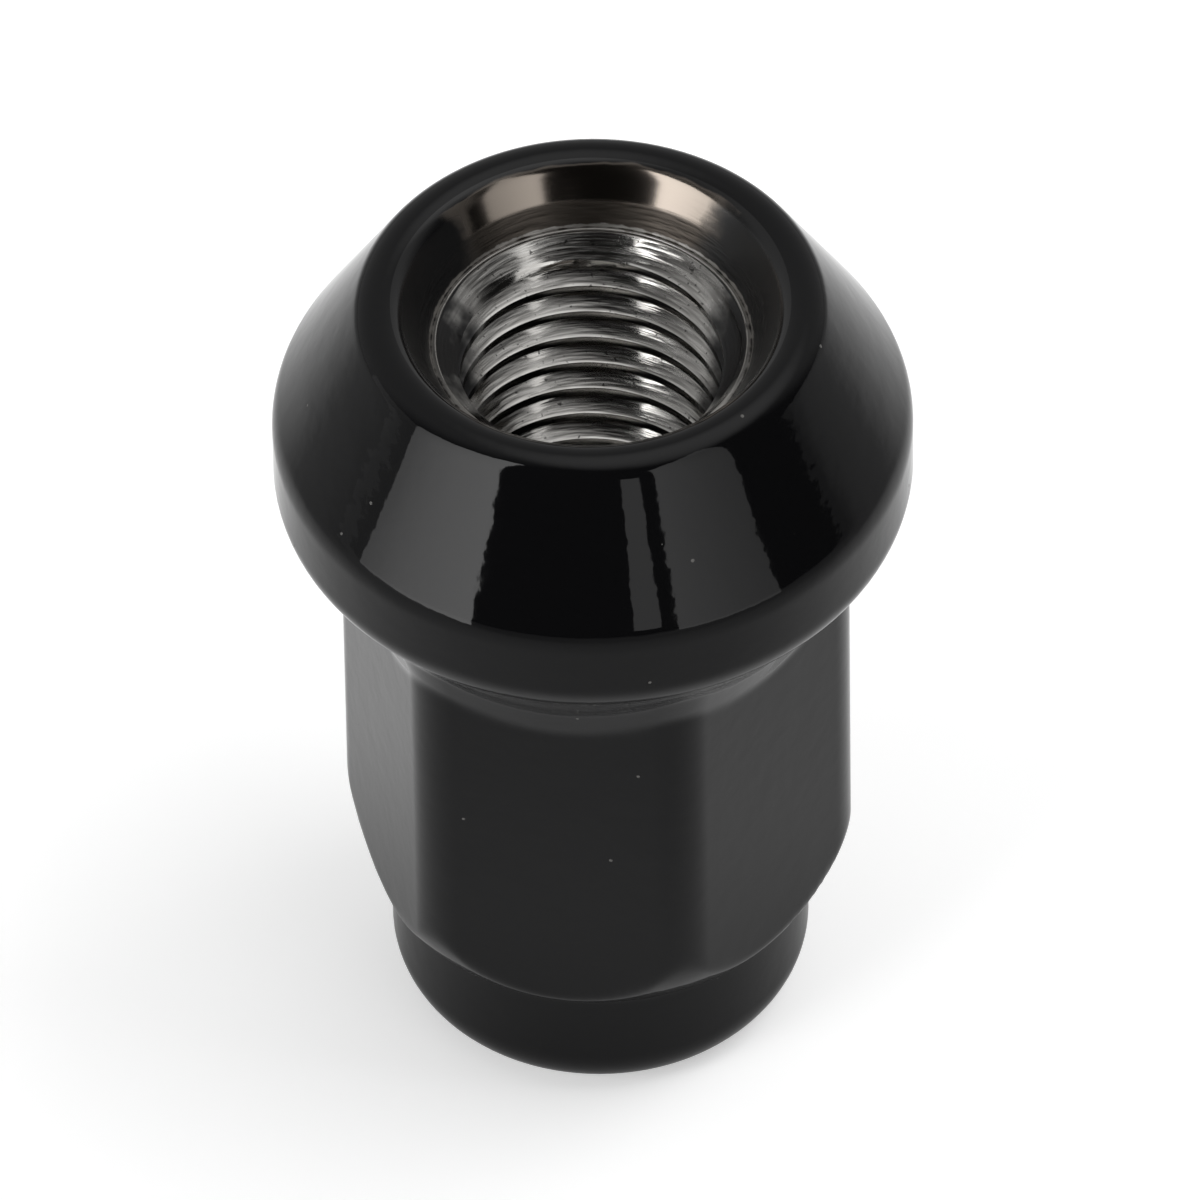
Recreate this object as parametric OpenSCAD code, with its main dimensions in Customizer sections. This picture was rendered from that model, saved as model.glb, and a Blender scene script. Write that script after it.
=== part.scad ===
// Closed-end lug nut: a round closed end, a wrench hex, a bulge and a conical seat round the thread's mouth.
// Millimetres. It stands on its closed end, with the thread's axis on +Z and the mouth at the top.
// The origin is the centre of the closed end's flat. Two flats of the hex face -Y and +Y.

/* [Overall] */
// Height from the closed end to the top of the lip
total_h = 38.55; // [37:0.05:44]

/* [Thread] */
// Nominal diameter of the metric thread
thread_d = 12; // [10:0.5:12.5]
// Pitch of the thread
thread_pitch = 1.5; // [1:0.25:1.75]
// How much wider the tapped hole is than the thread's basic inner diameter
tap_allowance = 0.3; // [0:0.05:0.4]
// Depth of the hole's straight wall below the top of the lip
hole_depth = 29; // [22:0.5:31]
// Included angle of the drill's point
drill_angle = 118; // [100:1:135]
// Width of the small flat that the drill leaves at its point
drill_web = 1; // [0.4:0.1:2]
// How far the foot of the countersink stands outside the thread
mouth_margin = 0.7; // [0.3:0.05:0.85]
// Included angle of the chamfer that leads into the thread
lead_angle = 90; // [80:5:140]

/* [Seat] */
// Included angle of the conical seat
seat_angle = 60; // [50:1:70]
// Diameter of the seat where it meets the lip
seat_end_d = 19.15; // [18.5:0.05:20]
// Radius of the rounded lip
lip_r = 1.15; // [0.8:0.05:1.3]
// Included angle of the countersink inside the lip
countersink_angle = 60; // [50:1:70]

/* [Bulge] */
// Largest diameter
bulge_d = 26; // [25:0.1:28]
// Height of the upright band round the bulge
band_h = 2.15; // [0.5:0.05:4]
// Radius between the band and the seat
shoulder_r = 2; // [0.5:0.1:3]
// Radius between the band and the underside
under_r = 2; // [0.5:0.1:2.5]
// Included angle of the sloping underside
under_angle = 75; // [60:1:90]
// Radius of the fillet between the underside and the hex
neck_r = 10; // [6:0.1:12]

/* [Hex] */
// Wrench size
wrench_size = 19; // [19:0.5:21]
// How much the hex is made under the wrench size
hex_allowance = 0.2; // [0.1:0.05:0.35]
// Radius of the hex's upright corners
corner_r = 2.25; // [0.5:0.05:3]
// Radius that rounds the corners in towards the closed end
end_round_r = 8; // [7.6:0.1:14]
// Height of that rounding
end_round_h = 4.7; // [3:0.1:4.8]

/* [Closed end] */
// Diameter
cap_d = 17.2; // [15:0.1:17.3]
// Height up to the hex
cap_h = 6.5; // [5:0.1:9]
// Radius of the closed end's outer edge
foot_r = 2.4; // [0.5:0.1:4]
// Radius of the hollow between the closed end and the hex
hollow_r = 0.9; // [0.85:0.05:2]
// Height of that hollow
hollow_h = 0.75; // [0.3:0.05:0.8]

/* [Hidden] */
$fn = 96;
gloss_black = "#1a1a1b";

// How far the neck's round foot lies inside the flats, so that it runs out on them
run_out = 0.3;
// How far an arc stands proud of the straight lines it joins, so that they cross cleanly
arc_lap = 0.004;
// How far outside the corners the rounding of the hex's lower end starts
end_lead = 0.2;
// Angle by which the hollow runs on inside the hex, so that it crosses the ledge cleanly
hollow_lap = 5;
// Depth of a metric thread on the diameter, as a share of its pitch
thread_depth_share = 1.0825;

hex_flat = (wrench_size - hex_allowance) / 2;
corner_at = (hex_flat - corner_r) / cos(30);
hex_corner = corner_at + corner_r;

cap_rad = cap_d / 2;
band_rad = bulge_d / 2 - arc_lap;
mouth_rad = thread_d / 2 + mouth_margin;
hole_rad = (thread_d - thread_depth_share * thread_pitch + tap_allowance) / 2;

seat_half = seat_angle / 2;
sink_half = countersink_angle / 2;
under_half = under_angle / 2;

// Closed end: centre of its edge's rounding
foot_c = [cap_rad - foot_r, foot_r];

// Lip: its centre, and where the seat and the countersink leave it
lip_c = [seat_end_d / 2 - lip_r * cos(seat_half), total_h - lip_r - arc_lap];
lip_out = lip_c + lip_r * [cos(seat_half), sin(seat_half)];
lip_in = lip_c + lip_r * [-cos(sink_half), sin(sink_half)];

// Hole: foot of the countersink, end of the lead-in chamfer, end of the straight wall and drill point
mouth_z = lip_in[1] - (lip_in[0] - mouth_rad) / tan(sink_half);
lead_z = mouth_z - (mouth_rad - hole_rad) / tan(lead_angle / 2);
hole_z = total_h - hole_depth;
drill_z = hole_z - (hole_rad - drill_web / 2) / tan(drill_angle / 2);

// Bulge: centres of its two roundings, and where the seat and the underside leave them
shoulder_rise = shoulder_r * sin(seat_half);
shoulder_end = band_rad - shoulder_r * (1 - cos(seat_half));
shoulder_z = lip_out[1] - (shoulder_end - lip_out[0]) / tan(seat_half) - shoulder_rise;
shoulder_c = [band_rad - shoulder_r, shoulder_z];
shoulder_out = [shoulder_end, shoulder_z + shoulder_rise];
band_z = shoulder_z - band_h;
under_c = [band_rad - under_r, band_z];
under_out = under_c + under_r * [cos(under_half), -sin(under_half)];

// Neck: the fillet between the sloping underside and the hex
neck_rad = hex_flat - run_out;
neck_meet_z = under_out[1] - (under_out[0] - neck_rad) / tan(under_half);
neck_reach = neck_r * tan(under_half / 2);
neck_low = [neck_rad, neck_meet_z - neck_reach];
neck_high = [neck_rad + neck_reach * sin(under_half), neck_meet_z + neck_reach * cos(under_half)];
neck_c = neck_low + [neck_r, 0];

// Ring that the hex is cut from, and the centre of the rounding at its lower end
ring_out_rad = hex_corner + end_lead;
end_c = [ring_out_rad - end_round_r, cap_h + end_round_h];
ring_in_rad = (hole_rad + cap_rad) / 2;

// Hollow under the ledge: its centre and the end of its arc, just inside the hex
hollow_c = [cap_rad + hollow_r, cap_h - hollow_h];
hollow_turn = asin(hollow_h / hollow_r) + hollow_lap;
hollow_end = hollow_c + hollow_r * [-cos(hollow_turn), sin(hollow_turn)];

// A disc in a section that rounds a corner or cuts a fillet
module disc(at, r) {
    translate(at)
        circle(r + arc_lap);
}

// Half section of everything round: closed end, core, neck, bulge, seat, lip and the hole
module round_section() {
    difference() {
        union() {
            polygon([
                [0, 0],
                [foot_c[0], 0],
                foot_c,
                [cap_rad, foot_c[1]],
                [cap_rad, hollow_c[1]],
                hollow_end,
                [hollow_end[0], neck_low[1]],
                neck_low,
                neck_high,
                under_out,
                [band_rad, band_z],
                [band_rad, shoulder_z],
                shoulder_out,
                lip_out,
                lip_in,
                [mouth_rad, mouth_z],
                [hole_rad, lead_z],
                [hole_rad, hole_z],
                [drill_web / 2, drill_z],
                [0, drill_z]
            ]);
            intersection() {
                translate(foot_c)
                    circle(foot_r);
                translate([foot_c[0], 0])
                    square([cap_rad, foot_r]);
            }
            disc(under_c, under_r);
            disc(shoulder_c, shoulder_r);
            disc(lip_c, lip_r);
        }
        disc(hollow_c, hollow_r);
        disc(neck_c, neck_r);
    }
}

// The hex's outline, with two of its round corners on +X and -X
module hex_outline() {
    polygon([
        for (corner = [0:60:300], side = [-30, 30])
            corner_at * [cos(corner), sin(corner)] + corner_r * [cos(corner + side), sin(corner + side)]
    ]);
    for (corner = [0:60:300])
        disc(corner_at * [cos(corner), sin(corner)], corner_r);
}

// Half section of the ring that the hex is cut from, drawn in at its lower end
module hex_ring_section() {
    translate([ring_in_rad, end_c[1]])
        square([ring_out_rad - ring_in_rad, band_z - end_c[1]]);
    intersection() {
        disc(end_c, end_round_r);
        translate([ring_in_rad, cap_h])
            square([ring_out_rad, end_round_h]);
    }
}

// The wrench hex, from the ledge up into the bulge
module hex_body() {
    intersection() {
        translate([0, 0, cap_h])
            linear_extrude(band_z - cap_h)
                hex_outline();
        rotate_extrude()
            hex_ring_section();
    }
}

// The nut: one forged, tapped and coated piece
module lug_nut() {
    color(gloss_black)
        union() {
            hex_body();
            rotate_extrude()
                round_section();
        }
}

lug_nut();
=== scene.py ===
"""Closed-end lug nut in gloss black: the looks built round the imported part."""

import math

import bpy
from mathutils import Matrix, Vector


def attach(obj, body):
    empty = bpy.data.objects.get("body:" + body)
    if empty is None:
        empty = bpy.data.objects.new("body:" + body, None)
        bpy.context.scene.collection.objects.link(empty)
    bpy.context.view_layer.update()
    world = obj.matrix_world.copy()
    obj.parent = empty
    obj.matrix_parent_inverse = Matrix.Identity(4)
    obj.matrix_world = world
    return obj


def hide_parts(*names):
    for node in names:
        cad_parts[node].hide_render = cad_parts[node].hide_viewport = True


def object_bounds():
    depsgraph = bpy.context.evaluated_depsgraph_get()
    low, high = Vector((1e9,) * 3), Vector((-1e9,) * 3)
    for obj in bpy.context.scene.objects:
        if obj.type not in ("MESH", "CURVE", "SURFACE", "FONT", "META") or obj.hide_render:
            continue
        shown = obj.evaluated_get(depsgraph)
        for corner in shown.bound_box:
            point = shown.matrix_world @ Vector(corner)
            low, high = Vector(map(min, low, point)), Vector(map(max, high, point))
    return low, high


bl_info = {
    "name": "Lug nut",
    "version": (1, 0, 0),
    "blender": (4, 5, 0),
    "location": "View3D > Sidebar > Lug nut",
    "description": "Forges, taps and coats a closed-end lug nut and sets up its studio",
    "category": "Object",
}

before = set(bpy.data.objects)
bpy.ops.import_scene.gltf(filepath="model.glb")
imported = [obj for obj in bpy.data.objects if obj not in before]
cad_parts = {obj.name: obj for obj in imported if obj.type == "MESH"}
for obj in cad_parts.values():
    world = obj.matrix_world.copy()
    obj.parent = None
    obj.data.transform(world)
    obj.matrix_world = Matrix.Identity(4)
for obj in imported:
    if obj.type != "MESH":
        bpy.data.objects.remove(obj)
CAD_LOW, CAD_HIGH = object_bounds()

MM = 0.001

# Hex: turn from one corner to the next, steps of a corner's rounding, and the points of half a flat as
# shares of the way from the rounding to the flat's middle
HEX_TURN = math.radians(60)
CORNER_STEPS = 16
FLAT_SHARES = (0.03, 0.1, 0.2, 0.32, 0.45, 0.58, 0.72, 0.86)

# Hex's lower end: how far outside the corners its rounding starts, and the width of its edge on the flats
HEX_END_LEAD = 0.2 * MM
HEX_END_EDGE = 0.12 * MM

# Neck: height of its first ring above the ledge, depth of its last ring below the band, number of rings
NECK_FOOT = 13.5 * MM
NECK_TOP = 2.4 * MM
NECK_RINGS = 64

# Ledge at the foot of the countersink: its width and the radius of its inner edge
MOUTH_LEDGE = 0.2 * MM
MOUTH_EDGE = 0.06 * MM

# One turn of the thread: rounding of the crest, heights of the lower flank and of the root, and the upper
# flank's facets from the root inwards, as reach and angle to the axis in degrees. The narrow facets leave
# fine ridges, and the last one is nearly flat, so each turn has a bright rim and thin lines beside it.
CREST_EASE = 0.03 * MM
LOWER_FLANK = 0.3 * MM
ROOT_FLAT = 0.12 * MM
UPPER_FLANK = ((0.15 * MM, 40), (0.05 * MM, 62), (0.17 * MM, 38), (0.05 * MM, 64), (0.16 * MM, 42))
LAST_FACET = 67

# Thread: how far outside its roots its wall starts, where its first crest lies as a share of the pitch,
# half the width of the flat that the drill leaves, and the rings on the drill's cone as shares of its reach
LEAD_MARGIN = 0.24 * MM
THREAD_PHASE = 0.24
DRILL_WEB = 0.5 * MM
DRILL_SHARES = (0.25, 0.6)

# Welding of the skin and the thread, and the angle past which an edge stays sharp
MERGE_DISTANCE = 0.002 * MM
DISSOLVE_DISTANCE = 0.0005 * MM
SHARP_ANGLE = math.radians(35)

# Bare steel: angle on the lip's rounding where it starts, and a depth below the hex's lower edge that the
# hole stays above
BARE_FROM = math.radians(65)
HOLE_MARGIN = 0.5 * MM

# Direction, close to the camera's right, towards which the coat's black covers the countersink, on both sides
SIDES_TURN = math.radians(11)

# Width of the floor in metres
FLOOR_SIZE = 12

# Floor in reflections, where it shows painted light and shade: half the way over which its painted glow dims
# towards the camera, with its shares at the back and in front; the distances over which it dims away from the
# nut, with its share there; the same for the painted shadow, a dark ring under the nut; and the share of the
# lamps' light that it keeps, its colour dimmed there as painted shade
FLOOR_SLOPE, FLOOR_BACK, FLOOR_FRONT = 0.03, 1.5, 0.5
FLOOR_NEAR, FLOOR_FAR, FLOOR_FAR_SHARE = 0.06, 0.2, 0.2
PAINTED_SHADOW_NEAR, PAINTED_SHADOW_FAR, PAINTED_SHADOW_SHARE = 0.008, 0.022, 0.42
FLOOR_MIRRORED = 0.4

# Room: how far its pale side leans to the left and upwards, and between which values it turns pale
ROOM_LEFT, ROOM_UP = 0.15, 0.6
ROOM_DARK, ROOM_PALE = -0.05, 0.7

# Soft window in the ceiling: angle from straight up, turn from the camera, angles from its middle at which
# its light starts and is full, and that light
WINDOW_TILT = math.radians(16)
WINDOW_TURN = math.radians(100)
WINDOW_EDGE, WINDOW_FULL = math.radians(40), math.radians(12)
WINDOW_LIGHT = 0.68

# Walls of light: name, both ends as metres to the right and ahead of the nut, lower and upper edge,
# radiance, and its fade: the shares at both ends and the power of the change between them
EVEN = (1.0, 1.0, 1.0)
LIGHT_WALLS = (
    ("left wall", (-0.123, 0.158), (-0.911, 0.186), 0.0, 0.3, 3.7, (0.5, 1.12, 2.2)),
    ("far left wall", (-0.911, 0.186), (-0.93, -0.3), 0.0, 0.25, 0.3, EVEN),
    ("right wall", (0.247, 0.53), (0.2695, 0.168), 0.0, 0.45, 1.35, (1.25, 0.68, 1.5)),
)
NEAR_STRIP = ("near strip", (0.00314, 0.02), (0.00541, 0.02), 0.0338, 0.0415, 1.3, EVEN)

# Key softbox: turn from the camera, rise, distance, width, radiance and the height it faces
KEY_TURN, KEY_RISE = math.radians(95), math.radians(55)
KEY_DISTANCE, KEY_WIDTH = 0.7, 0.5
KEY_RADIANCE = 2.25
KEY_AIM = 0.02

# Camera: height on the axis that it circles, its pan, tilt and roll off that point, and the width of its
# sensor in millimetres
CAMERA_AIM = 0.0175
CAMERA_PAN, CAMERA_TILT, CAMERA_ROLL = 0.0002655, 0.00228996, -0.01661589
CAMERA_SENSOR = 36


def linear(hex_colour):
    """An sRGB hex colour as linear red, green and blue."""
    values = [int(hex_colour[i:i + 2], 16) / 255 for i in (1, 3, 5)]
    return tuple(v / 12.92 if v <= 0.04045 else ((v + 0.055) / 1.055) ** 2.4 for v in values)


class NutSizes(bpy.types.PropertyGroup):
    """Sizes of the nut, as in its solid apart from the neck, the lead-in and the thread."""

    height: bpy.props.FloatProperty(
        name="Height", description="From the closed end to the top of the lip",
        default=CAD_HIGH.z, unit="LENGTH")
    bulge_diameter: bpy.props.FloatProperty(
        name="Bulge diameter", description="Largest diameter of the nut",
        default=CAD_HIGH.x - CAD_LOW.x, unit="LENGTH")
    band_low: bpy.props.FloatProperty(
        name="Band from", description="Height at which the upright band of the bulge starts",
        default=29.35 * MM, unit="LENGTH")
    band_high: bpy.props.FloatProperty(
        name="Band to", description="Height at which the upright band of the bulge ends",
        default=31.5 * MM, unit="LENGTH")
    bulge_radius: bpy.props.FloatProperty(
        name="Bulge rounding", description="Radius above and below the band",
        default=2.0 * MM, unit="LENGTH")
    under_slope: bpy.props.FloatProperty(
        name="Underside slope", description="Angle between the bulge's underside and the axis",
        default=math.radians(37.5), subtype="ANGLE")
    across_flats: bpy.props.FloatProperty(
        name="Across flats", description="Distance between two flats of the hex",
        default=18.8 * MM, unit="LENGTH")
    corner_radius: bpy.props.FloatProperty(
        name="Corner radius", description="Radius of the hex's upright corners",
        default=2.25 * MM, unit="LENGTH")
    neck_flare: bpy.props.FloatProperty(
        name="Neck flare", description="Share of the underside's slope that the neck above the flats has",
        default=0.4, min=0, max=1, subtype="FACTOR")
    neck_swell: bpy.props.FloatProperty(
        name="Neck swell", description="How far the neck stands out where the flats would meet the underside",
        default=0.33 * MM, unit="LENGTH")
    neck_blend: bpy.props.FloatProperty(
        name="Neck blend", description="Width over which the neck flows into the underside of the bulge",
        default=0.2 * MM, unit="LENGTH")
    neck_edge: bpy.props.FloatProperty(
        name="Neck edge", description="Width over which the flats flow into the neck",
        default=0.09 * MM, unit="LENGTH")
    end_radius: bpy.props.FloatProperty(
        name="End rounding", description="Radius that draws the hex's corners in at the closed end",
        default=8.0 * MM, unit="LENGTH")
    end_height: bpy.props.FloatProperty(
        name="End rounding height", description="Height of that rounding above the ledge",
        default=4.7 * MM, unit="LENGTH")
    ledge_height: bpy.props.FloatProperty(
        name="Ledge height", description="Height of the hex's lower edge",
        default=6.5 * MM, unit="LENGTH")
    ledge_radius: bpy.props.FloatProperty(
        name="Ledge rounding", description="Radius of the hex's lower edge",
        default=0.15 * MM, unit="LENGTH")
    cap_diameter: bpy.props.FloatProperty(
        name="Closed end diameter", description="Diameter of the round closed end",
        default=17.2 * MM, unit="LENGTH")
    foot_radius: bpy.props.FloatProperty(
        name="Foot rounding", description="Radius of the closed end's outer edge",
        default=2.4 * MM, unit="LENGTH")
    hollow_radius: bpy.props.FloatProperty(
        name="Hollow", description="Radius of the hollow under the ledge",
        default=0.9 * MM, unit="LENGTH")
    hollow_height: bpy.props.FloatProperty(
        name="Hollow height", description="Height of the hollow under the ledge",
        default=0.75 * MM, unit="LENGTH")
    lip_radius: bpy.props.FloatProperty(
        name="Lip rounding", description="Radius of the rounded lip",
        default=1.15 * MM, unit="LENGTH")
    lip_reach: bpy.props.FloatProperty(
        name="Lip centre", description="Distance of the lip's rounding from the axis",
        default=8.579 * MM, unit="LENGTH")
    seat_half_angle: bpy.props.FloatProperty(
        name="Seat half angle", description="Angle of the conical seat and of the countersink to the axis",
        default=math.radians(30), subtype="ANGLE")
    mouth_diameter: bpy.props.FloatProperty(
        name="Mouth diameter", description="Diameter at the foot of the solid's countersink",
        default=13.4 * MM, unit="LENGTH")
    lead_half_angle: bpy.props.FloatProperty(
        name="Lead-in half angle", description="Angle between the lead-in chamfer and the axis",
        default=math.radians(50), subtype="ANGLE")
    thread_pitch: bpy.props.FloatProperty(
        name="Pitch", description="Pitch of the right-hand thread",
        default=1.5 * MM, unit="LENGTH")
    thread_crest: bpy.props.FloatProperty(
        name="Thread inner radius", description="Radius at the thread's crests",
        default=5.338 * MM, unit="LENGTH")
    thread_root: bpy.props.FloatProperty(
        name="Thread outer radius", description="Radius at the thread's roots",
        default=6.04 * MM, unit="LENGTH")
    hole_end: bpy.props.FloatProperty(
        name="End of the thread", description="Height at which the hole's straight wall ends",
        default=9.55 * MM, unit="LENGTH")
    drill_half_angle: bpy.props.FloatProperty(
        name="Drill half angle", description="Angle between the drill's point and the axis",
        default=math.radians(59), subtype="ANGLE")


class NutFinish(bpy.types.PropertyGroup):
    """Colours and gloss of the coat and of the bare steel."""

    coat: bpy.props.FloatVectorProperty(
        name="Coat", description="Colour of the black coat",
        default=linear("#0b0b0c"), subtype="COLOR", min=0, max=1)
    coat_gloss: bpy.props.FloatProperty(
        name="Coat roughness", description="Roughness of the black coat",
        default=0.045, min=0, max=1, subtype="FACTOR")
    dust: bpy.props.FloatVectorProperty(
        name="Dust", description="Colour of the specks of dust on the coat",
        default=linear("#5f5e5c"), subtype="COLOR", min=0, max=1)
    steel: bpy.props.FloatVectorProperty(
        name="Steel", description="Colour of the bright steel in the thread",
        default=linear("#d2d0cc"), subtype="COLOR", min=0, max=1)
    stain: bpy.props.FloatVectorProperty(
        name="Stain", description="Colour of the steel in the countersink, browned by heat and oil",
        default=linear("#7f776f"), subtype="COLOR", min=0, max=1)


class NutStudio(bpy.types.PropertyGroup):
    """Camera and light."""

    camera_turn: bpy.props.FloatProperty(
        name="Camera turn", description="Turn of the camera round the nut, from straight in front",
        default=math.radians(11.1), subtype="ANGLE")
    camera_rise: bpy.props.FloatProperty(
        name="Camera rise", description="Angle of the camera above the floor",
        default=math.radians(47), subtype="ANGLE")
    camera_distance: bpy.props.FloatProperty(
        name="Camera distance", description="Distance of the camera from the nut",
        default=1.0, unit="LENGTH")
    camera_lens: bpy.props.FloatProperty(
        name="Lens", description="Focal length in millimetres on a sensor 36 mm wide",
        default=733.0)
    floor_colour: bpy.props.FloatVectorProperty(
        name="Floor", description="Colour of the floor",
        default=linear("#e7e7e7"), subtype="COLOR", min=0, max=1)
    floor_fill: bpy.props.FloatProperty(
        name="Floor fill", description="Even light that the floor shows the camera on top of the lamps",
        default=0.43, min=0, max=1)
    # painted light: strength of the floor's glow that only reflections show
    painted_floor_glow: bpy.props.FloatProperty(
        name="Floor in reflections", description="Light of the floor beside the nut, as the nut mirrors it",
        default=0.5, min=0, max=1)
    back_light: bpy.props.FloatProperty(
        name="Back of the room", description="Brightness of the room's pale back wall and ceiling",
        default=0.45, min=0)
    front_light: bpy.props.FloatProperty(
        name="Front of the room", description="Brightness of the dark room behind the camera",
        default=0.012, min=0)


def arc(centre, radius, start, end, steps):
    """Points of an arc in a section, [radius, height], between two angles in degrees."""
    angles = [math.radians(start + (end - start) * i / steps) for i in range(steps + 1)]
    return [(centre[0] + radius * math.cos(a), centre[1] + radius * math.sin(a)) for a in angles]


def line(start, end, shares):
    """Points on a line in a section, at the given shares of its length."""
    return [(start[0] + (end[0] - start[0]) * t, start[1] + (end[1] - start[1]) * t) for t in shares]


def soft_max(a, b, width):
    """The larger of two values, rounded over where they meet."""
    lap = max(width - abs(a - b), 0) / width
    return max(a, b) + lap * lap * width / 4


def soft_min(a, b, width):
    """The smaller of two values, rounded over where they meet."""
    return -soft_max(-a, -b, width)


def corner_centre(sizes):
    """Distance from the axis of the centre of a corner's rounding."""
    return (sizes.across_flats / 2 - sizes.corner_radius) / math.cos(HEX_TURN / 2)


def ring_angles(sizes):
    """Angles of one ring's points, in order: close together on the hex's corners, wide apart on its flats."""
    centre, radius = corner_centre(sizes), sizes.corner_radius
    turns = [HEX_TURN / 2 * (2 * i / CORNER_STEPS - 1) for i in range(CORNER_STEPS + 1)]
    corner = [math.atan2(radius * math.sin(t), centre + radius * math.cos(t)) for t in turns]
    rest = HEX_TURN / 2 - corner[-1]
    flat = [corner[-1] + rest * t for t in FLAT_SHARES]
    side = [-t for t in reversed(flat)] + corner + flat + [HEX_TURN / 2]
    return sorted((HEX_TURN * k + t) % math.tau for k in range(6) for t in side)


def hex_radius(sizes, angle):
    """Distance of the round-cornered hex's outline from the axis, with corners on X."""
    off = (angle + HEX_TURN / 2) % HEX_TURN - HEX_TURN / 2
    centre, radius = corner_centre(sizes), sizes.corner_radius
    tangent = math.atan2(radius / 2, centre + radius * math.cos(HEX_TURN / 2))
    if abs(off) >= tangent:
        return sizes.across_flats / 2 / math.cos(HEX_TURN / 2 - abs(off))
    return centre * math.cos(off) + math.sqrt(radius ** 2 - (centre * math.sin(off)) ** 2)


def underside_radius(sizes, height):
    """Radius of the bulge's sloping underside, run on downwards as a cone."""
    slope = sizes.under_slope
    low_r = sizes.bulge_diameter / 2 - sizes.bulge_radius * (1 - math.cos(slope))
    low_z = sizes.band_low - sizes.bulge_radius * math.sin(slope)
    return low_r + (height - low_z) * math.tan(slope)


def neck_radius(sizes, outline, height):
    """Radius where the hex's outline flares out gently and then flows into the underside."""
    under = underside_radius(sizes, height)
    flare = outline + sizes.neck_flare * (under - outline) + sizes.neck_swell
    return soft_max(outline, soft_max(flare, under, sizes.neck_blend), sizes.neck_edge)


def hex_end(sizes):
    """Centre of the rounding that draws the hex's lower end in."""
    corner = corner_centre(sizes) + sizes.corner_radius
    return (corner + HEX_END_LEAD - sizes.end_radius, sizes.ledge_height + sizes.end_height)


def mouth_ring(sizes):
    """Radius and height of the line at the foot of the solid's countersink."""
    angle = sizes.seat_half_angle
    lip_r = sizes.lip_reach - sizes.lip_radius * math.cos(angle)
    lip_z = sizes.height - sizes.lip_radius + sizes.lip_radius * math.sin(angle)
    mouth = sizes.mouth_diameter / 2
    return (mouth, lip_z - (lip_r - mouth) / math.tan(angle))


def thread_ring(sizes):
    """Radius and height of the ring on the lead-in chamfer where the thread's wall takes over."""
    mouth = mouth_ring(sizes)
    radius = sizes.thread_root + LEAD_MARGIN
    return (radius, mouth[1] - (mouth[0] - radius) / math.tan(sizes.lead_half_angle))


def skin_section(sizes):
    """Half section of the skin, from the closed end up the outside, over the lip and down to the lead-in."""
    cap = sizes.cap_diameter / 2
    bulge = sizes.bulge_diameter / 2
    seat = math.degrees(sizes.seat_half_angle)
    slope = math.degrees(sizes.under_slope)
    # closed end and the hollow above it
    points = arc((cap - sizes.foot_radius, sizes.foot_radius), sizes.foot_radius, -90, 0, steps=14)
    hollow = (cap + sizes.hollow_radius, sizes.ledge_height - sizes.hollow_height)
    points += line((cap, sizes.foot_radius), (cap, hollow[1]), (0.05, 0.5, 0.95))
    hollow_turn = math.degrees(math.asin(sizes.hollow_height / sizes.hollow_radius))
    points += arc(hollow, sizes.hollow_radius, 180, 180 - hollow_turn, steps=6)
    # blank of the hex: its rounded lower edge, its drawn-in end and its wall
    end = hex_end(sizes)
    edge_z = sizes.ledge_height + sizes.ledge_radius
    inner = sizes.end_radius - sizes.ledge_radius
    edge = (end[0] + math.sqrt(inner ** 2 - (end[1] - edge_z) ** 2), edge_z)
    edge_turn = math.degrees(math.atan2(edge[1] - end[1], edge[0] - end[0]))
    points += arc(edge, sizes.ledge_radius, -90, edge_turn, steps=5)
    points += arc(end, sizes.end_radius, edge_turn, 0, steps=20)[1:]
    widest = end[0] + sizes.end_radius
    neck_foot = sizes.ledge_height + NECK_FOOT
    neck_top = sizes.band_low - NECK_TOP
    points += line((widest, end[1]), (widest, neck_foot), (0.05, 0.3, 0.6, 1))
    neck_shares = [i / NECK_RINGS for i in range(1, NECK_RINGS + 1)]
    points += line((widest, neck_foot), (widest, neck_top), neck_shares)
    # bulge, seat and lip
    under_arc = arc((bulge - sizes.bulge_radius, sizes.band_low), sizes.bulge_radius, -slope, 0, steps=10)
    points += line((underside_radius(sizes, neck_top), neck_top), under_arc[0], (0.5, 0.9))
    points += under_arc
    points += line(under_arc[-1], (bulge, sizes.band_high), (0.08, 0.5, 0.92))
    shoulder_arc = arc((bulge - sizes.bulge_radius, sizes.band_high), sizes.bulge_radius, 0, seat, steps=8)
    points += shoulder_arc
    lip_centre = (sizes.lip_reach, sizes.height - sizes.lip_radius)
    lip_arc = arc(lip_centre, sizes.lip_radius, seat, 180 - seat, steps=24)
    points += line(shoulder_arc[-1], lip_arc[0], (0.03, 0.35, 0.7, 0.97))
    points += lip_arc
    # the countersink ends on a narrow ledge, whose rounded inner edge leads into the thread; the edge's
    # centre lies 0.7 of its radius outwards, so that it ends right above the thread's wall
    start_r, start_z = thread_ring(sizes)
    lip_r, lip_z = lip_arc[-1]
    sink_r = start_r + MOUTH_LEDGE
    sink = (sink_r, lip_z - (lip_r - sink_r) / math.tan(sizes.seat_half_angle))
    points += line(lip_arc[-1], sink, (0.06, 0.35, 0.65, 0.97, 1))
    points += arc((start_r + MOUTH_EDGE * 0.7, start_z), MOUTH_EDGE, 90, 225, steps=6)
    points += [(start_r, start_z - MOUTH_EDGE)]
    return points


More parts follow.
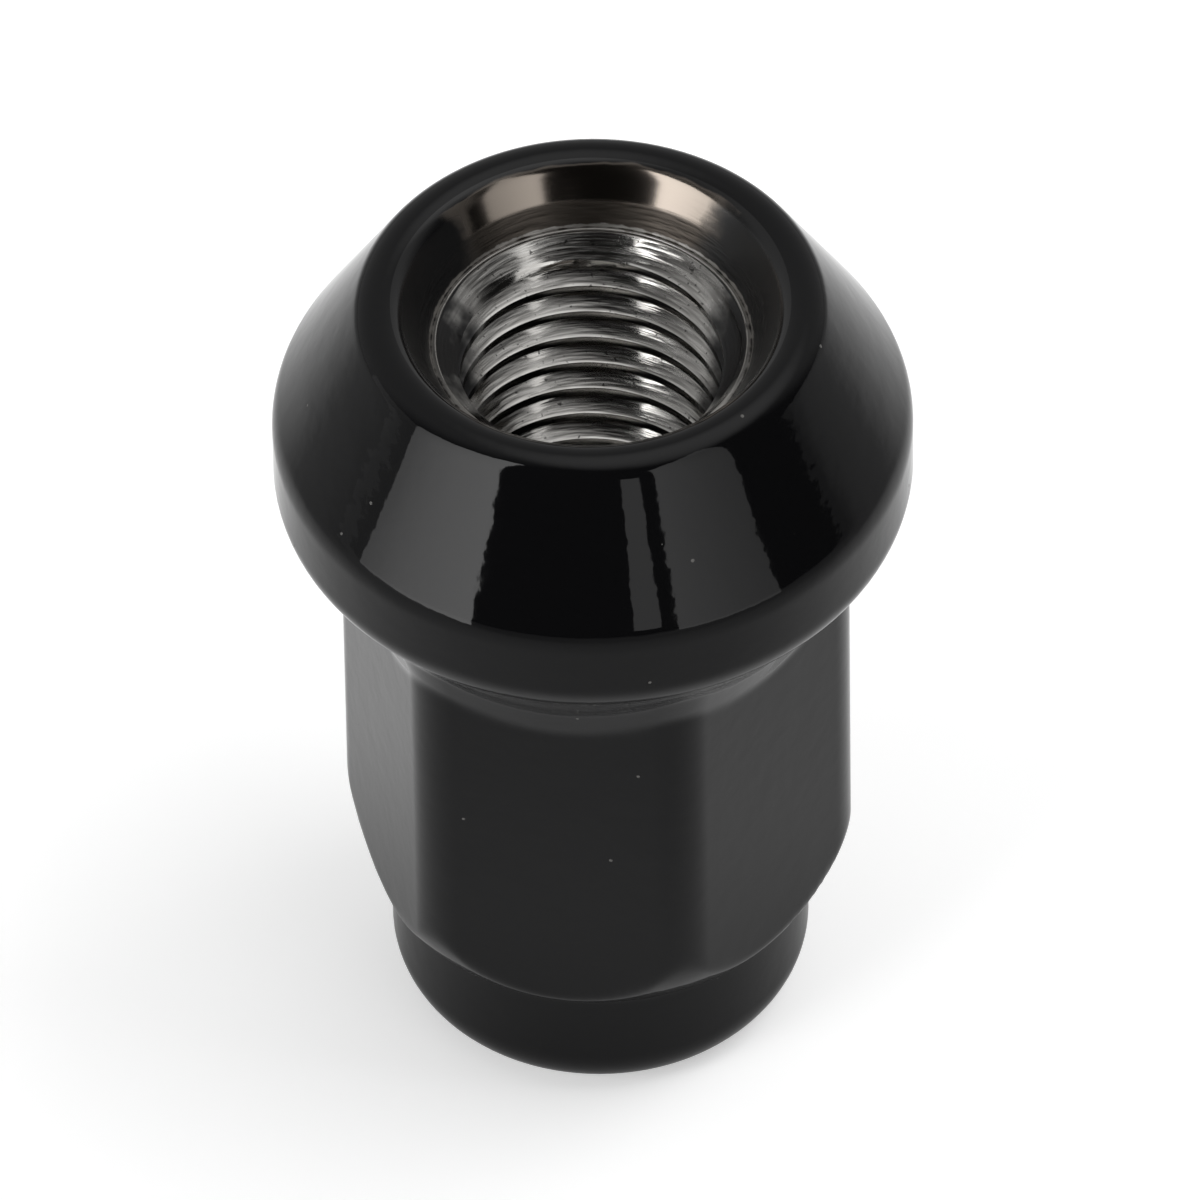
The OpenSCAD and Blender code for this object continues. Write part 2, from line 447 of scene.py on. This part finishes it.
def thread_profile(sizes):
    """One turn of the thread from the top of its crest downwards, as depth and radius."""
    crest, root = sizes.thread_crest, sizes.thread_root
    facets = list(UPPER_FLANK)
    facets.append((root - crest - sum(reach for reach, _ in facets), LAST_FACET))
    drops = [reach / math.tan(math.radians(angle)) for reach, angle in facets]
    crest_flat = sizes.thread_pitch - LOWER_FLANK - ROOT_FLAT - sum(drops)
    low = crest_flat + LOWER_FLANK + ROOT_FLAT
    profile = [
        (0, crest + CREST_EASE / 4),
        (CREST_EASE, crest),
        (crest_flat - CREST_EASE, crest),
        (crest_flat, crest + CREST_EASE / 2),
        (crest_flat + LOWER_FLANK / 2, (crest + root) / 2),
        (low - ROOT_FLAT, root - CREST_EASE / 2),
        (low, root - CREST_EASE / 2),
    ]
    for k in range(1, len(facets)):
        profile.append((low + sum(drops[:k]), root - sum(reach for reach, _ in facets[:k])))
    return profile


def deselect_all():
    """Leaves edit mode and clears the selection."""
    if bpy.context.object and bpy.context.object.mode != "OBJECT":
        bpy.ops.object.mode_set(mode="OBJECT")
    bpy.ops.object.select_all(action="DESELECT")


def press_hex(mesh, sizes):
    """Presses the six flats into the turned blank and flows them into the bulge."""
    end = hex_end(sizes)
    low = sizes.ledge_height
    high = sizes.band_low - sizes.bulge_radius * math.sin(sizes.under_slope)
    for vertex in mesh.vertices:
        x, y, z = vertex.co
        radius = math.hypot(x, y)
        if not low < z < high or radius < sizes.cap_diameter / 2:
            continue
        outline = hex_radius(sizes, math.atan2(y, x))
        pressed = soft_min(outline, radius, HEX_END_EDGE) if z < end[1] else outline
        pressed = neck_radius(sizes, pressed, z)
        vertex.co = (x * pressed / radius, y * pressed / radius, z)


class LUGNUT_OT_forge_skin(bpy.types.Operator):
    """Forges the nut's skin: closed end, hex, neck, bulge, seat, lip and countersink"""

    bl_idname = "lug_nut.forge_skin"
    bl_label = "Forge the skin"

    def execute(self, context):
        sizes = context.scene.lug_nut_sizes
        section = skin_section(sizes)
        angles = ring_angles(sizes)
        deselect_all()
        first_r, first_z = section[0]
        bpy.ops.mesh.primitive_circle_add(
            vertices=len(angles), radius=first_r, fill_type="TRIFAN", location=(0, 0, first_z))
        skin = context.object
        skin.name = "nut_skin"
        bpy.ops.object.transform_apply(location=True, rotation=True, scale=True)
        # the rim's points move to the ring's angles, and only the rim is selected
        rim = [v for v in skin.data.vertices if v.co.length > first_r / 2]
        rim.sort(key=lambda v: math.atan2(v.co.y, v.co.x) % math.tau)
        for vertex, angle in zip(rim, angles):
            vertex.co = (first_r * math.cos(angle), first_r * math.sin(angle), first_z)
        for vertex in skin.data.vertices:
            vertex.select = vertex.co.length > first_r / 2
        for edge in skin.data.edges:
            edge.select = all(skin.data.vertices[i].select for i in edge.vertices)
        for face in skin.data.polygons:
            face.select = False
        bpy.ops.object.mode_set(mode="EDIT")
        bpy.ops.mesh.select_mode(type="EDGE")
        for (r0, z0), (r1, z1) in zip(section, section[1:]):
            bpy.ops.mesh.extrude_edges_move(TRANSFORM_OT_translate={"value": (0, 0, z1 - z0)})
            bpy.ops.transform.resize(value=(r1 / r0, r1 / r0, 1), center_override=(0, 0, z1))
        bpy.ops.object.mode_set(mode="OBJECT")
        press_hex(skin.data, sizes)
        return {"FINISHED"}


class LUGNUT_OT_tap_thread(bpy.types.Operator):
    """Taps the right-hand thread, drills its end, joins both to the skin and coats the nut"""

    bl_idname = "lug_nut.tap_thread"
    bl_label = "Tap the thread"

    def execute(self, context):
        sizes = context.scene.lug_nut_sizes
        skin = bpy.data.objects["nut_skin"]
        angles = ring_angles(sizes)
        angles.append(angles[0] + math.tau)
        pitch, crest, end_z = sizes.thread_pitch, sizes.thread_crest, sizes.hole_end
        top_r, top_z = thread_ring(sizes)
        top_z -= MOUTH_EDGE
        turns = math.ceil((top_z - end_z) / pitch) + 2
        profile = thread_profile(sizes)
        rows = [((k - 1) * pitch + depth, radius) for k in range(turns + 1) for depth, radius in profile]
        web = DRILL_WEB / crest
        cone = [*DRILL_SHARES, 1 - web, 1]
        deselect_all()
        columns = len(angles)
        bpy.ops.mesh.primitive_grid_add(
            x_subdivisions=columns - 1, y_subdivisions=len(rows) + len(cone) - 1, size=2)
        wall = context.object
        wall.name = "thread_wall"
        for index, vertex in enumerate(wall.data.vertices):
            row, column = divmod(index, columns)
            angle = angles[column]
            if row < len(rows):
                # the turns rise with the angle, fade out at the hole's end and are cut by the lead-in
                depth, radius = rows[row]
                z = top_z + pitch * ((angle - angles[0]) / math.tau + THREAD_PHASE) - depth
                z = min(max(z, end_z), top_z)
                fade = min(max((z - end_z) / pitch, 0), 1)
                radius = crest + (radius - crest) * fade * fade * (3 - 2 * fade)
                chamfer = top_r - (top_z - z) * math.tan(sizes.lead_half_angle)
                radius = max(radius, chamfer) if z < top_z else top_r
            else:
                share = cone[row - len(rows)]
                radius = crest * (1 - share)
                z = end_z - crest * min(share, 1 - web) / math.tan(sizes.drill_half_angle)
            vertex.co = (radius * math.cos(angle), radius * math.sin(angle), z)
        wall.select_set(True)
        skin.select_set(True)
        context.view_layer.objects.active = skin
        bpy.ops.object.join()
        skin.name = skin.data.name = "lug_nut_body"
        bpy.ops.object.mode_set(mode="EDIT")
        bpy.ops.mesh.select_all(action="SELECT")
        bpy.ops.mesh.remove_doubles(threshold=MERGE_DISTANCE)
        bpy.ops.mesh.dissolve_degenerate(threshold=DISSOLVE_DISTANCE)
        bpy.ops.mesh.normals_make_consistent(inside=False)
        bpy.ops.object.mode_set(mode="OBJECT")
        bpy.ops.object.shade_smooth_by_angle(angle=SHARP_ANGLE)
        finish = context.scene.lug_nut_finish
        skin.data.materials.clear()
        skin.data.materials.append(gloss_black_coat(finish))
        skin.data.materials.append(cut_steel(finish, sizes))
        bare = sizes.lip_reach - sizes.lip_radius * math.cos(BARE_FROM)
        for face in skin.data.polygons:
            x, y, z = face.center
            face.material_index = int(math.hypot(x, y) < bare and z > sizes.ledge_height - HOLE_MARGIN)
        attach(skin, "root")
        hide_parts("lug_nut")
        return {"FINISHED"}


def add(tree, kind, settings=None, **inputs):
    """Adds a node with its settings.

    Its inputs are set or linked by name or, with a leading underscore, by number.
    """
    node = tree.nodes.new(kind)
    for name, value in (settings or {}).items():
        setattr(node, name, value)
    for name, value in inputs.items():
        socket = node.inputs[int(name[1:])] if name[0] == "_" else node.inputs[name.replace("_", " ")]
        if isinstance(value, bpy.types.NodeSocket):
            tree.links.new(value, socket)
        else:
            socket.default_value = value
    return node


def new_material(name):
    """A material and its empty node tree."""
    material = bpy.data.materials.new(name)
    material.use_nodes = True
    material.node_tree.nodes.clear()
    return material, material.node_tree


def gloss_black_coat(finish):
    """Gloss black coat baked on forged steel.

    It is almost black by itself, and shows the room in it as in dark glass, a little wavy like any
    sprayed coat, with fine specks of dust.
    """
    material, tree = new_material("gloss_black_coat_on_forged_steel")
    place = add(tree, "ShaderNodeTexCoord").outputs["Object"]
    # waves of the coat about 1.4 mm long, and a fine grain of 0.3 mm
    waves = add(tree, "ShaderNodeTexNoise", Vector=place, Scale=1 / (1.4 * MM), Detail=2.5, Roughness=0.55)
    grain = add(tree, "ShaderNodeTexNoise", Vector=place, Scale=1 / (0.3 * MM), Detail=2.0)
    # specks of dust up to 0.15 mm wide, at most one to a cell of 1.2 mm, and in one cell of five
    cells = add(tree, "ShaderNodeTexVoronoi", Vector=place, Scale=1 / (1.2 * MM), Randomness=1.0)
    near = add(tree, "ShaderNodeMath", {"operation": "LESS_THAN"}, _0=cells.outputs["Distance"], _1=0.062)
    pick = add(tree, "ShaderNodeSeparateColor", Color=cells.outputs["Color"])
    some = add(tree, "ShaderNodeMath", {"operation": "GREATER_THAN"}, _0=pick.outputs["Red"], _1=0.8)
    speck = add(tree, "ShaderNodeMath", {"operation": "MULTIPLY"}, _0=near.outputs[0], _1=some.outputs[0])
    colour = add(tree, "ShaderNodeMix", {"data_type": "RGBA"}, _0=speck.outputs[0],
                 _6=(*finish.coat, 1), _7=(*finish.dust, 1))
    gloss = add(tree, "ShaderNodeMapRange", _0=grain.outputs[0],
                _3=finish.coat_gloss * 0.8, _4=finish.coat_gloss * 1.25)
    rough = add(tree, "ShaderNodeMath", {"operation": "MULTIPLY_ADD"},
                _0=speck.outputs[0], _1=0.5, _2=gloss.outputs[0])
    wavy = add(tree, "ShaderNodeBump", Strength=0.5, Distance=0.028 * MM, Height=waves.outputs[0])
    bump = add(tree, "ShaderNodeBump", Strength=0.03, Distance=0.01 * MM, Height=grain.outputs[0],
               Normal=wavy.outputs[0])
    # the IOR is low, to match how weakly the coat mirrors the room
    shader = add(tree, "ShaderNodeBsdfPrincipled", Base_Color=colour.outputs[2], Metallic=0.0,
                 Roughness=rough.outputs[0], IOR=1.33, Normal=bump.outputs[0])
    add(tree, "ShaderNodeOutputMaterial", Surface=shader.outputs[0])
    return material


def cut_steel(finish, sizes):
    """Bare steel in the mouth and the thread, cut on a lathe and by a tap.

    The countersink is browned and smooth at the top, with turning rings further down. The thread is
    bright and shines in narrow arcs, with fine lines along the turns and a few dark nicks.
    """
    material, tree = new_material("cut_steel_in_the_mouth")
    place = add(tree, "ShaderNodeTexCoord").outputs["Object"]
    parts = add(tree, "ShaderNodeSeparateXYZ", Vector=place)
    height = parts.outputs["Z"]
    flat = add(tree, "ShaderNodeCombineXYZ", X=parts.outputs["X"], Y=parts.outputs["Y"], Z=0.0)
    reach = add(tree, "ShaderNodeVectorMath", {"operation": "LENGTH"}, _0=flat.outputs[0])
    # broken lines 0.14 mm apart and some ten times as long, that run along the turns
    across = add(tree, "ShaderNodeMath", {"operation": "MULTIPLY_ADD"},
                 _0=height, _1=0.37, _2=reach.outputs["Value"])
    along = add(tree, "ShaderNodeVectorMath", {"operation": "SCALE"}, _0=flat.outputs[0], Scale=0.1)
    rise = add(tree, "ShaderNodeCombineXYZ", X=0.0, Y=0.0, Z=across.outputs[0])
    track = add(tree, "ShaderNodeVectorMath", {"operation": "ADD"}, _0=along.outputs[0], _1=rise.outputs[0])
    lines = add(tree, "ShaderNodeTexNoise", Vector=track.outputs[0], Scale=1 / (0.14 * MM), Detail=1.5)
    # 1 in the countersink and 0 in the thread, and 1 on the smooth upper part of the countersink
    mouth = mouth_ring(sizes)[1]
    upper = add(tree, "ShaderNodeMapRange", {"interpolation_type": "SMOOTHSTEP"}, _0=height,
                _1=mouth - 0.48 * MM, _2=mouth - 0.4 * MM, _3=0.0, _4=1.0)
    smooth = add(tree, "ShaderNodeMapRange", {"interpolation_type": "SMOOTHSTEP"}, _0=height,
                 _1=mouth + 0.5 * MM, _2=mouth + 0.72 * MM, _3=0.0, _4=1.0)
    # the edge above the thread is cut bright again in a thin line, broken by chips of 0.5 mm
    ledge = add(tree, "ShaderNodeMath", {"operation": "SUBTRACT"},
                _0=height, _1=thread_ring(sizes)[1] + 0.04 * MM)
    off_ledge = add(tree, "ShaderNodeMath", {"operation": "ABSOLUTE"}, _0=ledge.outputs[0])
    chips = add(tree, "ShaderNodeTexNoise", Vector=place, Scale=1 / (0.5 * MM), Detail=3.0)
    broken = add(tree, "ShaderNodeMath", {"operation": "MULTIPLY_ADD"},
                 _0=chips.outputs[0], _1=0.2 * MM, _2=off_ledge.outputs[0])
    uncut = add(tree, "ShaderNodeMapRange", _0=broken.outputs[0],
                _1=0.13 * MM, _2=0.18 * MM, _3=0.0, _4=1.0)
    partly = add(tree, "ShaderNodeMapRange", _0=uncut.outputs[0], _3=0.5, _4=1.0)
    # the stain covers the countersink, darker in its turned lower part, and tints the lines in the thread
    above = add(tree, "ShaderNodeMath", {"operation": "MULTIPLY"}, _0=upper.outputs[0], _1=partly.outputs[0])
    tint = add(tree, "ShaderNodeMapRange", _0=lines.outputs[0], _1=0.62, _2=0.4, _3=0.0, _4=0.35)
    stained = add(tree, "ShaderNodeMath", {"operation": "MAXIMUM"}, _0=above.outputs[0], _1=tint.outputs[0])
    brown = add(tree, "ShaderNodeMix", {"data_type": "RGBA"}, _0=smooth.outputs[0],
                _6=(*(0.36 * v for v in finish.stain), 1), _7=(*finish.stain, 1))
    steel = add(tree, "ShaderNodeMix", {"data_type": "RGBA"}, _0=stained.outputs[0],
                _6=(*finish.steel, 1), _7=brown.outputs[2])
    # fine dark nicks of 0.22 mm on the turns, none in the countersink
    torn = add(tree, "ShaderNodeTexNoise", Vector=place, Scale=1 / (0.22 * MM), Detail=2.0)
    spots = add(tree, "ShaderNodeMapRange", _0=torn.outputs[0], _1=0.66, _2=0.72, _3=0.0, _4=0.7)
    nicks = add(tree, "ShaderNodeMapRange", _0=upper.outputs[0], _3=spots.outputs[0], _4=0.0)
    nicked = add(tree, "ShaderNodeMix", {"data_type": "RGBA"}, _0=nicks.outputs[0],
                 _6=steel.outputs[2], _7=(*finish.coat, 1))
    # the black coat reaches over the lip's inner rounding with an uneven edge
    edge = add(tree, "ShaderNodeTexNoise", Vector=place, Scale=1 / (3.5 * MM), Detail=3.0)
    border = add(tree, "ShaderNodeMath", {"operation": "MULTIPLY_ADD"},
                 _0=edge.outputs[0], _1=0.5 * MM, _2=height)
    lip = add(tree, "ShaderNodeMapRange", {"interpolation_type": "SMOOTHSTEP"}, _0=border.outputs[0],
              _1=sizes.height - 0.04 * MM, _2=sizes.height + 0.06 * MM, _3=0.0, _4=1.0)
    # and it covers the countersink towards both ends of that direction, to its left and right as the camera
    # sees it, with ragged borders about 1.6 mm long, and a little into the thread
    aside = add(tree, "ShaderNodeVectorMath", {"operation": "DOT_PRODUCT"}, _0=flat.outputs[0],
                _1=(math.cos(SIDES_TURN), math.sin(SIDES_TURN), 0))
    facing = add(tree, "ShaderNodeMath", {"operation": "DIVIDE"},
                 _0=aside.outputs["Value"], _1=reach.outputs["Value"])
    sideways = add(tree, "ShaderNodeMath", {"operation": "ABSOLUTE"}, _0=facing.outputs[0])
    further = add(tree, "ShaderNodeMath", {"operation": "MULTIPLY_ADD"},
                  _0=upper.outputs[0], _1=0.17, _2=sideways.outputs[0])
    patches = add(tree, "ShaderNodeTexNoise", Vector=place, Scale=1 / (1.6 * MM), Detail=3.0)
    ragged = add(tree, "ShaderNodeMath", {"operation": "MULTIPLY_ADD"},
                 _0=patches.outputs[0], _1=0.3, _2=further.outputs[0])
    covered = add(tree, "ShaderNodeMapRange", {"interpolation_type": "SMOOTHSTEP"}, _0=ragged.outputs[0],
                  _1=0.92, _2=1.1, _3=0.0, _4=1.0)
    sides = add(tree, "ShaderNodeMath", {"operation": "MULTIPLY"}, _0=covered.outputs[0], _1=uncut.outputs[0])
    coated = add(tree, "ShaderNodeMath", {"operation": "MAXIMUM"}, _0=lip.outputs[0], _1=sides.outputs[0])
    colour = add(tree, "ShaderNodeMix", {"data_type": "RGBA"}, _0=coated.outputs[0],
                 _6=nicked.outputs[2], _7=(*finish.coat, 1))
    metal = add(tree, "ShaderNodeMath", {"operation": "SUBTRACT"}, _0=1.0, _1=coated.outputs[0])
    # the thread shines, the turned rings are dull, and the smooth part lies between them
    cut_rough = add(tree, "ShaderNodeMapRange", _0=lines.outputs[0], _1=0.3, _2=0.7, _3=0.08, _4=0.22)
    turned_rough = add(tree, "ShaderNodeMath", {"operation": "MULTIPLY_ADD"},
                       _0=upper.outputs[0], _1=0.26, _2=cut_rough.outputs[0])
    steel_rough = add(tree, "ShaderNodeMix", {"data_type": "FLOAT"}, _0=smooth.outputs[0],
                      _2=turned_rough.outputs[0], _3=0.14)
    # the coat is glossy on the lip and dull further down
    dull = add(tree, "ShaderNodeMapRange", _0=height,
               _1=sizes.height - 0.6 * MM, _2=sizes.height - 0.15 * MM, _3=0.36, _4=0.08)
    rough = add(tree, "ShaderNodeMix", {"data_type": "FLOAT"}, _0=coated.outputs[0],
                _2=steel_rough.outputs[0], _3=dull.outputs[0])
    # the lines are deepest in the turned rings and faint on the smooth part
    turned_depth = add(tree, "ShaderNodeMapRange", _0=upper.outputs[0], _3=0.28, _4=0.8)
    depth = add(tree, "ShaderNodeMix", {"data_type": "FLOAT"}, _0=smooth.outputs[0],
                _2=turned_depth.outputs[0], _3=0.1)
    bump = add(tree, "ShaderNodeBump", Strength=depth.outputs[0], Distance=0.035 * MM,
               Height=lines.outputs[0])
    shader = add(tree, "ShaderNodeBsdfPrincipled", Base_Color=colour.outputs[2], Metallic=metal.outputs[0],
                 Roughness=rough.outputs[0], Normal=bump.outputs[0])
    add(tree, "ShaderNodeOutputMaterial", Surface=shader.outputs[0])
    return material


def view_axes(turn):
    """Directions to the right of the nut and ahead of it, towards the camera."""
    return Vector((math.cos(turn), math.sin(turn), 0)), Vector((math.sin(turn), -math.cos(turn), 0))


def pale_floor(studio):
    """Matt white floor.

    The lamps and the nut's shadow fall on it, and the camera sees an even white on top of them. In
    reflections it glows with painted light, brightest behind the nut and dim far away from it, with a painted
    shadow right under the nut.
    """
    material, tree = new_material("matt_white_floor")
    path = add(tree, "ShaderNodeLightPath")
    place = add(tree, "ShaderNodeTexCoord").outputs["Object"]
    # painted light pool: in reflections the floor glows brightest behind the nut, less towards the camera and
    # far from it
    ahead = add(tree, "ShaderNodeVectorMath", {"operation": "DOT_PRODUCT"}, _0=place,
                _1=view_axes(studio.camera_turn)[1])
    slope = add(tree, "ShaderNodeMapRange", _0=ahead.outputs["Value"], _1=-FLOOR_SLOPE, _2=FLOOR_SLOPE,
                _3=studio.painted_floor_glow * FLOOR_BACK, _4=studio.painted_floor_glow * FLOOR_FRONT)
    away = add(tree, "ShaderNodeVectorMath", {"operation": "LENGTH"}, _0=place)
    near = add(tree, "ShaderNodeMapRange", {"interpolation_type": "SMOOTHSTEP"}, _0=away.outputs["Value"],
               _1=FLOOR_NEAR, _2=FLOOR_FAR, _3=1.0, _4=FLOOR_FAR_SHARE)
    # painted shadow: the glow in reflections is darker in a ring right under the nut
    painted_contact_shadow = add(tree, "ShaderNodeMapRange", {"interpolation_type": "SMOOTHSTEP"}, _0=away.outputs["Value"],
                  _1=PAINTED_SHADOW_NEAR, _2=PAINTED_SHADOW_FAR, _3=PAINTED_SHADOW_SHARE, _4=1.0)
    painted_light = add(tree, "ShaderNodeMath", {"operation": "MULTIPLY"}, _0=near.outputs[0], _1=painted_contact_shadow.outputs[0])
    painted_pool = add(tree, "ShaderNodeMath", {"operation": "MULTIPLY"}, _0=slope.outputs[0], _1=painted_light.outputs[0])
    mirrored = add(tree, "ShaderNodeMath", {"operation": "MAXIMUM"},
                   _0=path.outputs["Is Glossy Ray"], _1=path.outputs["Is Transmission Ray"])
    glowing = add(tree, "ShaderNodeMath", {"operation": "MULTIPLY"},
                  _0=mirrored.outputs[0], _1=painted_pool.outputs[0])
    fill = add(tree, "ShaderNodeMath", {"operation": "MULTIPLY_ADD"},
               _0=path.outputs["Is Camera Ray"], _1=studio.floor_fill, _2=glowing.outputs[0])
    # painted shade: in reflections the floor's colour is dimmed, so it keeps only part of the lamps' light
    kept = add(tree, "ShaderNodeMapRange", _0=mirrored.outputs[0], _3=1.0, _4=FLOOR_MIRRORED)
    colour = add(tree, "ShaderNodeMix", {"data_type": "RGBA"}, _0=kept.outputs[0],
                 _6=(0, 0, 0, 1), _7=(*studio.floor_colour, 1))
    matt = add(tree, "ShaderNodeBsdfDiffuse", Color=colour.outputs[2])
    glow = add(tree, "ShaderNodeEmission", Color=(1, 1, 1, 1), Strength=fill.outputs[0])
    both = add(tree, "ShaderNodeAddShader", _0=matt.outputs[0], _1=glow.outputs[0])
    add(tree, "ShaderNodeOutputMaterial", Surface=both.outputs[0])
    return material


def dim_room(studio):
    """Room that the nut mirrors: dark behind the camera, pale at the back and above, with a soft window.

    The camera itself sees white.
    """
    world = bpy.data.worlds.new("dim studio")
    world.use_nodes = True
    tree = world.node_tree
    tree.nodes.clear()
    path = add(tree, "ShaderNodeLightPath")
    ray = add(tree, "ShaderNodeTexCoord").outputs["Generated"]
    turn = studio.camera_turn
    right, ahead = view_axes(turn)
    pale_side = add(tree, "ShaderNodeVectorMath", {"operation": "DOT_PRODUCT"}, _0=ray,
                    _1=Vector((0, 0, ROOM_UP)) - ahead - ROOM_LEFT * right)
    room = add(tree, "ShaderNodeMapRange", {"interpolation_type": "SMOOTHSTEP"},
               _0=pale_side.outputs["Value"], _1=ROOM_DARK, _2=ROOM_PALE,
               _3=studio.front_light, _4=studio.back_light)
    aside = view_axes(turn + WINDOW_TURN)[1] * math.sin(WINDOW_TILT)
    ceiling = add(tree, "ShaderNodeVectorMath", {"operation": "DOT_PRODUCT"}, _0=ray,
                  _1=aside + Vector((0, 0, math.cos(WINDOW_TILT))))
    window = add(tree, "ShaderNodeMapRange", {"interpolation_type": "SMOOTHSTEP"},
                 _0=ceiling.outputs["Value"], _1=math.cos(WINDOW_EDGE), _2=math.cos(WINDOW_FULL),
                 _3=0.0, _4=WINDOW_LIGHT)
    bright = add(tree, "ShaderNodeMath", {"operation": "ADD"}, _0=room.outputs[0], _1=window.outputs[0])
    shown = add(tree, "ShaderNodeMath", {"operation": "MAXIMUM"},
                _0=path.outputs["Is Camera Ray"], _1=bright.outputs[0])
    light = add(tree, "ShaderNodeBackground", Color=(1, 1, 1, 1), Strength=shown.outputs[0])
    add(tree, "ShaderNodeOutputWorld", Surface=light.outputs[0])
    return world


def area_lamp(name, width, height, radiance):
    """A rectangular lamp, for its maker to place."""
    light = bpy.data.lights.new(name, "AREA")
    light.shape = "RECTANGLE"
    light.size, light.size_y = width, height
    light.energy = radiance * math.pi * width * height
    lamp = bpy.data.objects.new(name, light)
    bpy.context.scene.collection.objects.link(lamp)
    return lamp


def light_wall(turn, name, start, end, low, high, radiance, fade):
    """An upright wall of light that faces the nut, with its light faded from one end to the other."""
    right, ahead = view_axes(turn)
    first, last = (right * r + ahead * a for r, a in (start, end))
    centre = (first + last) / 2
    up = Vector((0, 0, 1))
    along = (last - first).normalized()
    # a lamp shines along its own -Z, so its Z has to point away from the nut
    if along.cross(up).dot(centre) < 0:
        along = -along
    lamp = area_lamp(name, (last - first).length, high - low, radiance)
    axes = Matrix((along, up, along.cross(up))).transposed().to_4x4()
    lamp.matrix_world = Matrix.Translation(centre + up * (low + high) / 2) @ axes
    lamp.data.use_nodes = True
    tree = lamp.data.node_tree
    tree.nodes.clear()
    spot = add(tree, "ShaderNodeNewGeometry").outputs["Parametric"]
    across = add(tree, "ShaderNodeSeparateXYZ", Vector=spot)
    eased = add(tree, "ShaderNodeMath", {"operation": "POWER"}, _0=across.outputs["X"], _1=fade[2])
    level = add(tree, "ShaderNodeMapRange", _0=eased.outputs[0], _3=fade[0], _4=fade[1])
    glow = add(tree, "ShaderNodeEmission", Color=(1, 1, 1, 1), Strength=level.outputs[0])
    add(tree, "ShaderNodeOutputLight", Surface=glow.outputs[0])
    return lamp


def key_softbox(turn):
    """The softbox that throws the nut's shadow. It faces the nut, which does not mirror it."""
    aim = Vector((0, 0, KEY_AIM))
    side = view_axes(turn + KEY_TURN)[1] * math.cos(KEY_RISE)
    place = aim + KEY_DISTANCE * (side + Vector((0, 0, math.sin(KEY_RISE))))
    lamp = area_lamp("key", KEY_WIDTH, KEY_WIDTH, KEY_RADIANCE)
    lamp.location = place
    lamp.rotation_euler = (aim - place).to_track_quat("-Z", "Y").to_euler()
    lamp.visible_glossy = False


def studio_camera(studio):
    """The camera, turned and raised round the nut and then panned, tilted and rolled a little."""
    rise = studio.camera_rise
    pan, pitch, roll = CAMERA_PAN, rise - CAMERA_TILT, CAMERA_ROLL
    ahead = Vector((math.sin(pan) * math.cos(pitch), math.cos(pan) * math.cos(pitch), -math.sin(pitch)))
    right = ahead.cross(Vector((0, 0, 1))).normalized()
    up = right.cross(ahead)
    side = math.cos(roll) * right + math.sin(roll) * up
    top = -math.sin(roll) * right + math.cos(roll) * up
    axes = Matrix((side, top, -ahead)).transposed().to_4x4()
    aim = Vector((0, 0, CAMERA_AIM))
    place = Vector((0, -math.cos(rise), math.sin(rise))) * studio.camera_distance + aim
    data = bpy.data.cameras.new("camera")
    data.sensor_width = CAMERA_SENSOR
    data.lens = studio.camera_lens
    data.clip_end = 100
    camera = bpy.data.objects.new("camera", data)
    camera.matrix_world = Matrix.Rotation(studio.camera_turn, 4, "Z") @ Matrix.Translation(place) @ axes
    bpy.context.scene.collection.objects.link(camera)
    return camera


class LUGNUT_OT_set_stage(bpy.types.Operator):
    """Lays the floor, sets the lamps and places the camera"""

    bl_idname = "lug_nut.set_stage"
    bl_label = "Set the stage"

    def execute(self, context):
        scene = context.scene
        studio = scene.lug_nut_studio
        deselect_all()
        bpy.ops.mesh.primitive_plane_add(size=FLOOR_SIZE, location=(0, 0, 0))
        floor = context.object
        floor.name = "floor"
        bpy.ops.object.mode_set(mode="EDIT")
        bpy.ops.mesh.subdivide(number_cuts=3)
        bpy.ops.object.mode_set(mode="OBJECT")
        floor.data.materials.append(pale_floor(studio))
        scene.world = dim_room(studio)
        for wall in LIGHT_WALLS:
            light_wall(studio.camera_turn, *wall)
        light_wall(studio.camera_turn, *NEAR_STRIP).visible_camera = False
        key_softbox(studio.camera_turn)
        scene.camera = studio_camera(studio)
        scene.view_settings.view_transform = "Standard"
        return {"FINISHED"}


class LUGNUT_PT_panel(bpy.types.Panel):
    """Sizes, finish, studio and steps of the lug nut"""

    bl_idname = "LUGNUT_PT_panel"
    bl_label = "Lug nut"
    bl_space_type = "VIEW_3D"
    bl_region_type = "UI"
    bl_category = "Lug nut"

    def draw(self, context):
        layout = self.layout
        for group_name, _ in GROUPS:
            group = getattr(context.scene, group_name)
            box = layout.box()
            for name in group.__annotations__:
                box.prop(group, name)
        for step in STEPS:
            layout.operator(step.bl_idname)


GROUPS = (
    ("lug_nut_sizes", NutSizes),
    ("lug_nut_finish", NutFinish),
    ("lug_nut_studio", NutStudio),
)
STEPS = (LUGNUT_OT_forge_skin, LUGNUT_OT_tap_thread, LUGNUT_OT_set_stage)


def register():
    for name, group in GROUPS:
        bpy.utils.register_class(group)
        setattr(bpy.types.Scene, name, bpy.props.PointerProperty(type=group))
    for step in STEPS:
        bpy.utils.register_class(step)
    bpy.utils.register_class(LUGNUT_PT_panel)


def unregister():
    bpy.utils.unregister_class(LUGNUT_PT_panel)
    for step in reversed(STEPS):
        bpy.utils.unregister_class(step)
    for name, group in reversed(GROUPS):
        delattr(bpy.types.Scene, name)
        bpy.utils.unregister_class(group)


def main():
    register()
    bpy.ops.lug_nut.forge_skin()
    bpy.ops.lug_nut.tap_thread()
    bpy.ops.lug_nut.set_stage()


if __name__ == "__main__":
    main()
